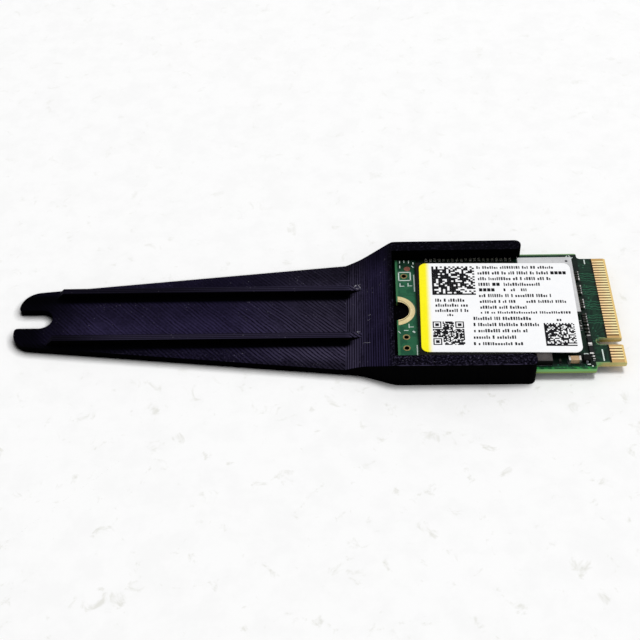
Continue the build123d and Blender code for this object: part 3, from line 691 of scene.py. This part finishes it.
GRAINED = {
    # name: (darker tone, lighter tone, grain per mm, roughness low, roughness high, relief in mm, specular)
    "whisker_plastic": (srgb(92, 90, 104), srgb(168, 166, 176), 6.0, 0.45, 0.65, 0.01, 0.5),
    "lacquered_copper": (srgb(24, 72, 52), srgb(38, 92, 66), 5.0, 0.3, 0.4, 0.004, 0.16),
    "package_mould": (srgb(9, 9, 8), srgb(19, 19, 17), 11.0, 0.5, 0.66, 0.01, 0.09),
    "package_substrate": (srgb(20, 52, 36), srgb(34, 70, 50), 6.0, 0.4, 0.52, 0.006, 0.4),
    "bare_silicon": (srgb(92, 94, 102), srgb(112, 114, 122), 2.0, 0.1, 0.2, 0.001, 0.5),
    "capacitor_tan": (srgb(154, 124, 92), srgb(196, 166, 130), 8.0, 0.34, 0.5, 0.008, 0.5),
    "capacitor_brown": (srgb(30, 32, 28), srgb(56, 56, 48), 9.0, 0.4, 0.56, 0.006, 0.12),
    "fuse_glaze": (srgb(9, 10, 11), srgb(20, 21, 22), 8.0, 0.3, 0.46, 0.005, 0.16),
    "crystal_ceramic": (srgb(96, 82, 66), srgb(122, 106, 86), 8.0, 0.5, 0.62, 0.006, 0.4),
    "label_ink": (srgb(5, 5, 9), srgb(15, 15, 19), 9.0, 0.5, 0.65, 0.002, 0.1),
    "label_grey_ink": (srgb(9, 9, 13), srgb(23, 23, 28), 9.0, 0.5, 0.65, 0.002, 0.1),
    "silk_ink": (srgb(188, 204, 196), srgb(226, 236, 230), 9.0, 0.5, 0.65, 0.004, 0.3),
    "lid_ink": (srgb(60, 60, 62), srgb(84, 84, 86), 9.0, 0.45, 0.6, 0.002, 0.3),
}
SHADED_ENDS = ((0.0, 22.0), (24.98, 25.5))
PLATED = {
    # name: (duller tone, brighter tone, grain per mm, roughness low, roughness high, shaded stretches)
    "bare_copper": (srgb(168, 106, 92), srgb(194, 130, 112), 7.0, 0.42, 0.56, ()),
    "tin_solder": (srgb(104, 106, 110), srgb(164, 166, 170), 8.0, 0.3, 0.46, ()),
    "bright_tin": (srgb(196, 190, 184), srgb(236, 230, 224), 8.0, 0.3, 0.44, ()),
    "patchy_tin": (srgb(30, 32, 32), srgb(252, 250, 246), 2.4, 0.3, 0.44, ()),
    "shaded_tin": (srgb(46, 48, 48), srgb(255, 253, 250), 2.4, 0.3, 0.44, SHADED_ENDS),
    "shaded_solder": (srgb(92, 94, 98), srgb(164, 166, 170), 8.0, 0.3, 0.46, SHADED_ENDS),
}
SPECIAL = (table_board, printed_plastic, board_lacquer, contact_gold, pad_plating, header_plating,
           lid_nickel, label_film, inductor_powder)
FINISHES = {name: Finish(name, specular=values[6]).grained(*values[:6]) for name, values in GRAINED.items()}
FINISHES |= {name: plated_metal(name, *values) for name, values in PLATED.items()}
FINISHES |= {make.__name__: make() for make in SPECIAL}

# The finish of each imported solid
NODE_FINISHES = {
    "extension_bracket": "printed_plastic",
    "circuit_board": "board_lacquer",
    "top_contacts": "contact_gold",
    "bottom_contacts": "contact_gold",
    "mounting_pad": "pad_plating",
    "header_barrels": "header_plating",
    "test_pad": "bare_copper",
    "flash_package": "package_mould",
    "flash_solder_balls": "tin_solder",
    "controller_substrate": "package_substrate",
    "controller_die": "bare_silicon",
    "controller_lid": "lid_nickel",
    "controller_solder_balls": "tin_solder",
    "power_regulator": "package_mould",
    "inductors": "inductor_powder",
    "inductor_feet": "tin_solder",
    "clock_crystal_base": "crystal_ceramic",
    "clock_crystal_lid": "lid_nickel",
    "transistor_body": "package_mould",
    "transistor_leads": "tin_solder",
    "bulk_capacitors": "capacitor_tan",
    "bulk_capacitor_terminals": "bright_tin",
    "chip_fuses": "fuse_glaze",
    "chip_fuse_terminals": "patchy_tin",
    "coupling_capacitors": "capacitor_brown",
    "coupling_capacitor_terminals": "shaded_tin",
    "filter_capacitors": "capacitor_brown",
    "filter_capacitor_terminals": "shaded_tin",
    "edge_capacitors": "capacitor_brown",
    "edge_capacitor_terminals": "patchy_tin",
    "label": "label_film",
}
for node, finish in NODE_FINISHES.items():
    nodes[node].data.materials.clear()
    nodes[node].data.materials.append(FINISHES[finish])


def add_piece(name, parts, finish, smooth=False):
    """Joins parts, each a pair of card-frame points and face arrays, into one object on the root body."""
    points = np.concatenate([np.reshape(part[0], (-1, 3)) for part in parts])
    starts = np.cumsum([0] + [np.size(part[0]) // 3 for part in parts])
    faces = [row for start, part in zip(starts, parts)
             for array in part[1] for row in (array + start).tolist()]
    mesh = bpy.data.meshes.new(name)
    mesh.from_pydata(((points + (CARD_X, 0, CARD_Z)) * MM).tolist(), [], faces)
    mesh.polygons.foreach_set("use_smooth", np.full(len(faces), smooth))
    mesh.materials.append(FINISHES[finish])
    piece = bpy.data.objects.new(name, mesh)
    scene.collection.objects.link(piece)
    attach(piece, "root")
    return piece


def rings_to_faces(shapes, rings, around):
    """Faces of closed ring stacks: quads between neighbouring rings, and caps on the first and last ring."""
    numbers = np.arange(shapes * rings * around).reshape(shapes, rings, around)
    ahead = np.roll(numbers, -1, axis=2)
    walls = np.stack([numbers[:, :-1], ahead[:, :-1], ahead[:, 1:], numbers[:, 1:]], axis=-1)
    return [walls.reshape(-1, 4), numbers[:, 0, ::-1], numbers[:, -1]]


def raised_tiles(centres, sizes, base, height, turns=0.0, cut=0.2):
    """Low tiles: a rectangle with cut corners, carried straight up from the base.

    With half sizes a and b and corner cut c, the outline runs through (a, -b+c), (a, b-c), (a-c, b) and
    (-a+c, b) and on round. It is turned by the tile's angle, and stands at the base and at base plus height.
    """
    centres = np.asarray(centres, float).reshape(-1, 2)
    half = np.broadcast_to(np.asarray(sizes, float) / 2, centres.shape)
    corner = cut * half.min(axis=1)[:, None]
    sign_x = np.array([1, 1, 1, -1, -1, -1, -1, 1])
    sign_y = np.array([-1, 1, 1, 1, 1, -1, -1, -1])
    drawn_in = np.array([0, 0, 1, 1, 0, 0, 1, 1])
    x = sign_x * (half[:, :1] - drawn_in * corner)
    y = sign_y * (half[:, 1:] - (1 - drawn_in) * corner)
    angle = np.broadcast_to(np.radians(turns), len(centres))[:, None]
    points = np.empty((len(centres), 2, 8, 3))
    points[..., 0] = (centres[:, :1] + x * np.cos(angle) - y * np.sin(angle))[:, None]
    points[..., 1] = (centres[:, 1:] + x * np.sin(angle) + y * np.cos(angle))[:, None]
    points[..., 2] = base + height * np.arange(2)[:, None]
    return points, rings_to_faces(len(centres), 2, 8)


def low_domes(centres, radius, base, height, around=12):
    """Low domes: rings of radius r cos s at height h sin s, for s from the foot to near the top.

    With a negative h the dome hangs down.
    """
    centres = np.asarray(centres, float).reshape(-1, 2)
    rise = np.radians([0, 35, 70])[:, None]
    turn = 2 * np.pi * np.arange(around) / around * np.sign(height)
    points = np.empty((len(centres), 3, around, 3))
    points[..., 0] = centres[:, 0, None, None] + radius * np.cos(rise) * np.cos(turn)
    points[..., 1] = centres[:, 1, None, None] + radius * np.cos(rise) * np.sin(turn)
    points[..., 2] = base + height * np.sin(rise)
    return points, rings_to_faces(len(centres), 3, around)


def carried(paths, sections):
    """Closed profiles carried along paths.

    A point is its path's station, plus the profile's first number times the level direction to the left of
    the path, plus its second number straight up. Both ends get flat caps.
    """
    paths = np.asarray(paths, float)
    heading = np.gradient(paths[..., :2], axis=1)
    heading /= np.linalg.norm(heading, axis=-1, keepdims=True)
    left = np.stack([-heading[..., 1], heading[..., 0], np.zeros(heading.shape[:2])], axis=-1)
    sections = np.broadcast_to(sections, (*paths.shape[:2], *np.shape(sections)[-2:]))
    sideways = sections[..., :1] * left[:, :, None, :]
    points = paths[:, :, None, :] + sideways + sections[..., 1:] * np.array([0, 0, 1.0])
    return points, rings_to_faces(len(paths), paths.shape[1], sections.shape[2])


# Label print: blocks of random cells, and rows of plain blocks in place of words
INK_BASE, INK_HEIGHT = LABEL_TOP - 0.001, 0.006
CELL_BLOCKS = (
    # left, lower edge, side along, side across, cells, share that is dark
    (-8.85, 2.08, 6.0, 5.7, 20, 0.67),
    (-9.0, -7.3, 4.22, 4.3, 25, 0.74),
    (5.88, -7.45, 4.08, 4.17, 20, 0.66),
)
SQUARES_BLOCK = 1
CORNER_SQUARES = ((0, 0), (0, 1), (1, 1))
SQUARE_CELLS = 7
WORD_ROWS = (
    # height of the row, block height, stretches along the row
    (7.55, 0.55, ((-2.5, 8.25),)),
    (6.43, 0.62, ((-2.4, 7.7),)),
    (5.29, 0.62, ((-2.4, 8.15),)),
    (4.15, 0.62, ((-2.4, -0.7), (1.1, 6.1))),
    (3.06, 0.55, ((1.0, 1.4), (2.0, 2.9), (3.4, 4.4))),
    (1.94, 0.62, ((-2.45, 7.65),)),
    (0.8, 0.55, ((-2.4, 2.6), (3.95, 9.75))),
    (-0.3, 0.6, ((-2.4, 4.25),)),
    (-1.3, 0.45, ((-2.4, 9.95),)),
    (-2.42, 0.62, ((-3.45, 4.5),)),
    (-3.56, 0.62, ((-3.5, 5.5),)),
    (-4.69, 0.62, ((-3.5, 3.65),)),
    (-5.88, 0.62, ((-3.6, 2.05),)),
    (-7.06, 0.55, ((-3.65, 3.1),)),
    (-2.72, 0.4, ((7.7, 8.5),)),
    (1.05, 0.62, ((-8.5, -4.4),)),
    (0.1, 0.62, ((-8.5, -3.95),)),
    (-0.91, 0.6, ((-8.55, -3.8),)),
    (-1.76, 0.45, ((-6.95, -5.8),)),
)
BLOCK_WIDTHS = (0.14, 0.27)
BLOCK_GAP, GROUP_GAP, GROUP_SHARE = 0.12, 0.36, 0.15
SHORTEST_STEP, SPARE_BLOCKS = 0.25, 4
LOW_BLOCK, LOW_SHARE = 0.7, 0.45
BOLD_PITCH, BOLD_SIZE = 0.56, (0.46, 0.62)
BOLD_RUNS = (
    # first block along and across the label, number of blocks
    (8.0, 6.43, 4),
    (-2.15, 3.06, 4),
    (-0.25, 4.15, 2),
)


def label_tiles(places, sizes, cut=0.2):
    """Ink tiles at places from the label's middle along and across its own edges, turned by its skew."""
    cosine, sine = math.cos(LABEL_SKEW), math.sin(LABEL_SKEW)
    centres = LABEL_CENTRE + np.asarray(places, float) @ np.array([[cosine, sine], [-sine, cosine]])
    return raised_tiles(centres, sizes, INK_BASE, INK_HEIGHT, math.degrees(LABEL_SKEW), cut)


def random_cells(left, low, along, across, count, share, squares):
    """A block of dark cells at random, with full and dotted edges, or with three corner squares.

    Cell i, j lies at the corner plus (i + 1/2, j + 1/2) times the cell's size. The left and lower edges are
    full and the other two dotted. A corner square is a ring of cells round a block of three by three.
    """
    size = np.array([along, across]) / count
    column, row = np.meshgrid(np.arange(count), np.arange(count), indexing="ij")
    dark = draw.random((count, count)) < share
    if squares:
        ring = SQUARE_CELLS // 2
        for side, end in CORNER_SQUARES:
            off_column = abs(column - ring - side * (count - SQUARE_CELLS))
            off_row = abs(row - ring - end * (count - SQUARE_CELLS))
            off = np.maximum(off_column, off_row)
            dark = np.where(off <= ring + 1, (off == ring) | (off <= 1), dark)
    else:
        dark = np.where((column == 0) | (row == 0), True, dark)
        dark = np.where(row == count - 1, column % 2 == 0, dark)
        dark = np.where(column == count - 1, row % 2 == 0, dark)
    return label_tiles((left, low) + (np.argwhere(dark) + 0.5) * size, size, 0.1)


def word_blocks(level, height, start, end):
    """One stretch of a row: plain blocks of random width side by side, low or of full height.

    Block k starts where the widths and gaps before it end, and stands on the row's foot. Some gaps are wider.
    """
    count = int((end - start) / SHORTEST_STEP) + SPARE_BLOCKS
    widths = draw.uniform(*BLOCK_WIDTHS, count)
    gaps = np.where(draw.random(count) < GROUP_SHARE, GROUP_GAP, BLOCK_GAP)
    lefts = start + np.cumsum(widths + gaps) - widths - gaps
    tall = height * draw.choice([LOW_BLOCK, 1.0], count, p=[LOW_SHARE, 1 - LOW_SHARE])
    kept = lefts + widths < end
    centres = np.stack([lefts + widths / 2, level + (tall - height) / 2], axis=-1)
    return label_tiles(centres[kept], np.stack([widths, tall], axis=-1)[kept], 0.3)


codes = [random_cells(*block, squares=number == SQUARES_BLOCK) for number, block in enumerate(CELL_BLOCKS)]
add_piece("label_code_blocks", codes, "label_ink")
words = [word_blocks(level, height, *stretch)
         for level, height, stretches in WORD_ROWS for stretch in stretches]
add_piece("label_word_rows", words, "label_grey_ink")
bold = [(along + BOLD_PITCH * k, across) for along, across, count in BOLD_RUNS for k in range(count)]
add_piece("label_bold_blocks", [label_tiles(bold, BOLD_SIZE)], "label_ink")

# Silkscreen on the board: frame round the single header hole, part outlines, ticks and small bars
SILK_BASE, SILK_HEIGHT = -0.004, 0.02
SILK_BARS = np.array([
    # middle along, middle across, size along, size across, turn in degrees
    (1.3, 7.62, 1.74, 0.16, 0), (1.3, 5.95, 1.74, 0.16, 0), (0.47, 6.79, 0.16, 1.75, 0),
    (2.12, 6.79, 0.16, 1.75, 0), (2.62, 5.4, 0.15, 3.4, 0), (2.58, -7.38, 0.14, 1.85, 0),
    (27.02, 9.29, 0.15, 0.95, 0), (27.05, -8.6, 0.17, 2.05, 0), (0.27, -4.06, 0.12, 0.52, 35),
    (2.25, -4.02, 0.26, 0.4, 45), (0.62, 5.05, 0.12, 0.75, 0), (0.98, 4.82, 0.5, 0.11, 0),
    (1.75, 5.1, 0.12, 0.7, 0), (2.1, 4.86, 0.45, 0.11, 0), (1.62, -2.9, 0.12, 0.75, 0),
    (2.0, -3.1, 0.5, 0.11, 0), (1.2, -3.74, 0.62, 0.12, 0), (0.69, 9.75, 0.13, 0.5, 0),
    (0.68, 8.75, 0.13, 0.6, 0), (1.3, 9.85, 0.13, 0.55, 0), (1.96, 9.75, 0.13, 0.55, 0),
    (2.6, 9.45, 0.13, 0.4, 0), (2.5, 8.75, 0.13, 0.45, 35), (25.42, -10.52, 0.2, 0.2, 0),
    (25.3, 10.1, 0.45, 0.12, 40), (24.62, 10.45, 0.36, 0.12, 55), (25.02, 10.52, 0.32, 0.12, -50),
    (24.98, -10.2, 0.44, 0.15, 0), (24.85, -8.32, 0.6, 0.14, 0),
])
silk = raised_tiles(SILK_BARS[:, :2], SILK_BARS[:, 2:4], SILK_BASE, SILK_HEIGHT, SILK_BARS[:, 4])
add_piece("silk_marks", [silk], "silk_ink")

# Index dot on the controller's lid
DOT_PLACE, DOT_RADIUS, DOT_SIDES = (24.2, 8.35), 0.22, 20
DOT_BASE, DOT_HEIGHT = LID_TOP - 0.002, 0.012
add_piece("lid_dot", [low_domes([DOT_PLACE], DOT_RADIUS, DOT_BASE, DOT_HEIGHT, DOT_SIDES)],
          "lid_ink")

# Chip sizes: length, width and height
SMALL, EDGE, FUSE, BULK = (0.6, 0.3, 0.3), (0.62, 0.35, 0.45), (1.66, 0.52, 0.5), (1.6, 0.8, 0.7)

# Chip rows: four groups of four lanes and three more below them, two by the label, and a row along the back
LANE_COLUMN, FIRST_LANE, GROUP_STEP, LANE_STEP, BELOW_STEP = 25.5, 6.9, 2.75, 0.45, 0.66
BY_LABEL, BY_LABEL_STEP = (24.8, -2.8), 0.95
BACK_ROW, BACK_STEP, BACK_COUNT = (16.45, 9.63), 0.63, 20
LANES = [FIRST_LANE - GROUP_STEP * group - LANE_STEP * lane for group in range(4) for lane in range(4)]

# Chips: middle along and across, whether it lies across the card, and its size
CHIPS = [(LANE_COLUMN, y, 0, *SMALL) for y in LANES]
CHIPS += [(LANE_COLUMN, LANES[-1] - BELOW_STEP * (k + 1), 0, *SMALL) for k in range(3)]
CHIPS += [(BY_LABEL[0], BY_LABEL[1] - BY_LABEL_STEP * k, 1, *SMALL) for k in range(2)]
CHIPS += [(BACK_ROW[0] - BACK_STEP * k, BACK_ROW[1], 1, *EDGE) for k in range(BACK_COUNT)]
CHIPS += [(21.24, -9.65, 1, *SMALL), (25.72, -9.25, 1, *SMALL), (23.13, -9.65, 0, *BULK)]
CHIPS += [(25.51, -7.945, 1, *FUSE), (25.51, -6.185, 1, *FUSE)]
FILLET_FOOT, FILLET_RISE, FILLET_SINK = 0.16, 0.62, 0.004
FILLET_STATIONS = np.array([-1.0, -0.82, 0.0, 0.82, 1.0])
FILLET_TAPER = np.array([0.55, 1.0, 1.0, 1.0, 0.55])


def solder_fillets(chips):
    """Solder at chip ends: a hollow quarter curve from the board up the end cap, carried across the cap.

    At angle v the curve is foot (1 - sin v) out and rise (1 - cos v) up, so it leaves the board flat and the
    cap steep. The foot goes by the root of the chip's height and the rise by the height, and the section
    shrinks at both ends of its run.
    """
    chips = np.repeat(np.asarray(chips, float), 2, axis=0)
    outward = np.where(np.arange(len(chips)) % 2, -1.0, 1.0)
    across = chips[:, 2] > 0.5
    axis = np.stack([np.where(across, 0.0, outward), np.where(across, outward, 0.0)], axis=-1)
    run = np.stack([axis[:, 1], -axis[:, 0]], axis=-1)
    ends = chips[:, :2] + axis * (chips[:, 3:4] / 2 - FILLET_SINK)
    step = FILLET_STATIONS[None, :, None]
    paths = np.zeros((len(chips), len(FILLET_STATIONS), 3))
    paths[..., :2] = ends[:, None] + run[:, None] * step * chips[:, 4, None, None] / 2
    angle = np.radians([0, 30, 60, 90])
    curve = np.stack([1 - np.sin(angle), 1 - np.cos(angle)], axis=-1)
    curve = np.concatenate([[[0.0, 0.0]], curve])
    reach = np.stack([FILLET_FOOT * np.sqrt(chips[:, 5]), FILLET_RISE * chips[:, 5]], axis=-1)
    return carried(paths, curve * reach[:, None, None, :] * FILLET_TAPER[None, :, None, None])


add_piece("solder_fillets", [solder_fillets(CHIPS)], "shaded_solder")

# Traces under the lacquer: lane pairs to the contacts, and runs at the notched end and on the underside
TRACE_WIDTH, TRACE_RISE = 0.13, 0.014
TRACE = np.array([(-0.5, -0.1), (0.5, -0.1), (0.34, 1.0), (-0.34, 1.0)]) * (TRACE_WIDTH, TRACE_RISE)
LANE_CONTACTS = np.array([5, 6, 7, 8, 10, 11, 12, 13, 16, 17, 18, 19, 21, 22, 23, 24])
CONTACTS = FIRST_CONTACT_Y - CONTACT_PITCH * LANE_CONTACTS


def lane_traces(starts, ends, left, right, z, waves, stations=25, ripple=0.07):
    """Traces that ease across from start to end: y goes by 3t^2 - 2t^3, plus a ripple that dies out."""
    t = np.linspace(0, 1, stations)[None, :]
    starts, ends = np.asarray(starts, float)[:, None], np.asarray(ends, float)[:, None]
    paths = np.empty((len(starts), stations, 3))
    paths[..., 0] = left + (right - left) * t
    wave = ripple * np.sin(2 * np.pi * waves * t) * np.sin(np.pi * t)
    paths[..., 1] = starts + (ends - starts) * t * t * (3 - 2 * t) + wave
    paths[..., 2] = z
    return paths


upper_runs = lane_traces(LANES, CONTACTS, 25.86, MASK_END, 0.0, 2)
end_runs = lane_traces([3.3, 3.0, -4.6, -8.9], [3.3, 3.0, -4.9, -9.3], 0.4, 2.8, 0.0, 0)
lower_runs = lane_traces(LANES, CONTACTS - CONTACT_PITCH / 2, 21.0, MASK_END, BOARD_UNDER, 3)
add_piece("board_traces", [carried(upper_runs, TRACE), carried(end_runs, TRACE),
                           carried(lower_runs[:, ::-1], TRACE[::-1] * (-1, -1))],
          "lacquered_copper")

# Vias closed by the lacquer, in loose groups on both faces
TOP_VIA_RADIUS, UNDER_VIA_RADIUS = 0.13, 0.15
VIA_SINK, VIA_RISE, VIA_SIDES = 0.003, 0.02, 10
TOP_VIAS = (
    # lowest place, highest place, number
    ((26.1, -7.2), (26.9, 9.4), 26),
    ((0.3, -10.4), (2.6, -9.0), 5),
    ((18.6, -10.75), (25.6, -10.25), 10),
)
top_vias = np.concatenate([draw.uniform(lowest, highest, (count, 2)) for lowest, highest, count in TOP_VIAS])
under_vias = draw.uniform((18.6, -10.2), (26.8, 10.2), (70, 2))
top_domes = low_domes(top_vias, TOP_VIA_RADIUS, -VIA_SINK, VIA_RISE, VIA_SIDES)
under_domes = low_domes(under_vias, UNDER_VIA_RADIUS, BOARD_UNDER + VIA_SINK, -VIA_RISE, VIA_SIDES)
add_piece("lacquered_vias", [top_domes, under_domes], "lacquered_copper", smooth=True)

# Whiskers of stretched filament where the ribs run into the ramp
WHISKERS = np.array([
    # start along and across, end along and across, thickness
    (-5.95, 4.55, -4.95, 5.25, 0.11), (-5.9, 4.75, -5.3, 5.1, 0.13), (-5.35, 5.05, -5.0, 4.35, 0.09),
    (-5.7, 4.4, -5.2, 4.2, 0.08), (-5.7, -3.8, -5.2, -4.3, 0.09), (-5.5, -3.9, -5.0, -3.95, 0.07),
    (-4.0, -1.2, -3.6, -1.25, 0.05), (-4.0, -2.1, -3.6, -2.05, 0.05), (-4.75, -6.2, -3.7, -6.55, 0.05),
])
WHISKER_BOW = 0.22


def filament_whiskers(whiskers, stations=14, around=6):
    """Round whiskers: a circle that thins to both ends, carried along a line with a seeded bow.

    The line is straight plus the bow times sin(pi t) and a lesser one times sin(3 pi t). It rests on the ramp
    or on a rib's top.
    """
    t = np.linspace(0, 1, stations)[None, :, None]
    start, end = whiskers[:, None, :2], whiskers[:, None, 2:4]
    bow = draw.uniform(-WHISKER_BOW, WHISKER_BOW, (len(whiskers), 1, 2))
    level = start + (end - start) * t + bow * np.sin(np.pi * t) + 0.3 * bow[..., ::-1] * np.sin(3 * np.pi * t)
    on_ramp = RAMP_FOOT_Z + RAMP_SLOPE * np.maximum(level[..., 0] - RAMP_FOOT, 0)
    from_centre = abs(level[..., 1])
    on_rib = (from_centre > RIB_INNER) & (from_centre < RIB_OUTER)
    rest = np.where(on_rib, np.maximum(on_ramp, RAMP_FOOT_Z + RIB_HEIGHT), on_ramp)
    thick = whiskers[:, 4, None] / 2 * (0.25 + 0.75 * np.sin(np.pi * t[..., 0]))
    paths = np.concatenate([level, (rest + 0.6 * thick)[..., None]], axis=-1)
    turn = 2 * np.pi * np.arange(around) / around
    circle = np.stack([np.cos(turn), np.sin(turn)], axis=-1)
    return carried(paths, thick[:, :, None, None] * circle)


add_piece("print_whiskers", [filament_whiskers(WHISKERS)], "whisker_plastic", smooth=True)

# Floor
FLOOR_HALF = 3.0
corners = [(-FLOOR_HALF, -FLOOR_HALF, 0), (FLOOR_HALF, -FLOOR_HALF, 0),
           (FLOOR_HALF, FLOOR_HALF, 0), (-FLOOR_HALF, FLOOR_HALF, 0)]
floor_mesh = bpy.data.meshes.new("floor")
floor_mesh.from_pydata(corners, [], [(0, 1, 2, 3)])
floor_mesh.materials.append(FINISHES["table_board"])
floor = bpy.data.objects.new("floor", floor_mesh)
scene.collection.objects.link(floor)

# Camera, aimed at a place on the level of the card's top, with its focal length in pixels of the picture
AZIMUTH, ELEVATION, ROLL = np.radians([3.266, 46.267, -3.04])
AIM_ALONG, AIM_ACROSS, CAMERA_DISTANCE = -10.578, -1.577, 159.156
FOCAL_PIXELS, PICTURE_PIXELS = 1155.537, 640
SENSOR_WIDTH = 36.0
level_reach = math.cos(ELEVATION)
back = Vector((math.sin(AZIMUTH) * level_reach, -math.cos(AZIMUTH) * level_reach, math.sin(ELEVATION)))
right = (-back).cross(Vector((0, 0, 1))).normalized()
up = right.cross(-back)
turned_right = right * math.cos(ROLL) + up * math.sin(ROLL)
turned_up = up * math.cos(ROLL) - right * math.sin(ROLL)
look_at = Vector((CARD_X + AIM_ALONG, AIM_ACROSS, CARD_Z)) * MM
camera_data = bpy.data.cameras.new("camera")
camera_data.sensor_width = SENSOR_WIDTH
camera_data.lens = FOCAL_PIXELS / PICTURE_PIXELS * SENSOR_WIDTH
camera_data.clip_start = 0.01
camera = bpy.data.objects.new("camera", camera_data)
camera.matrix_world = Matrix.Translation(look_at + back * CAMERA_DISTANCE * MM) @ Matrix(
    (turned_right, turned_up, back)).transposed().to_4x4()
scene.collection.objects.link(camera)
scene.camera = camera

# White surroundings for camera and reflections, which light the object less, and one large lamp above
SKY_LIGHT = 0.48
KEY_WATTS, KEY_SIDE, KEY_PLACE = 21.8, 0.55, Vector((0.35, 0.25, 1.95))
world = bpy.data.worlds.new("studio")
world.use_nodes = True
wire = Wiring(world.node_tree)
rays = wire.add("ShaderNodeLightPath").outputs
seen = wire.largest(rays["Is Camera Ray"], rays["Is Glossy Ray"], rays["Is Transmission Ray"])
backdrop = world.node_tree.nodes["Background"]
backdrop.inputs["Color"].default_value = (1, 1, 1, 1)
wire.feed(backdrop.inputs["Strength"], wire.choose(seen, SKY_LIGHT, 1.0))
scene.world = world
scene.view_settings.view_transform = "Standard"

key_data = bpy.data.lights.new("key", "AREA")
key_data.energy = KEY_WATTS
key_data.size = KEY_SIDE
key = bpy.data.objects.new("key", key_data)
key.location = KEY_PLACE
key.visible_glossy = False
key.rotation_euler = (-KEY_PLACE).to_track_quat("-Z", "Y").to_euler()
scene.collection.objects.link(key)
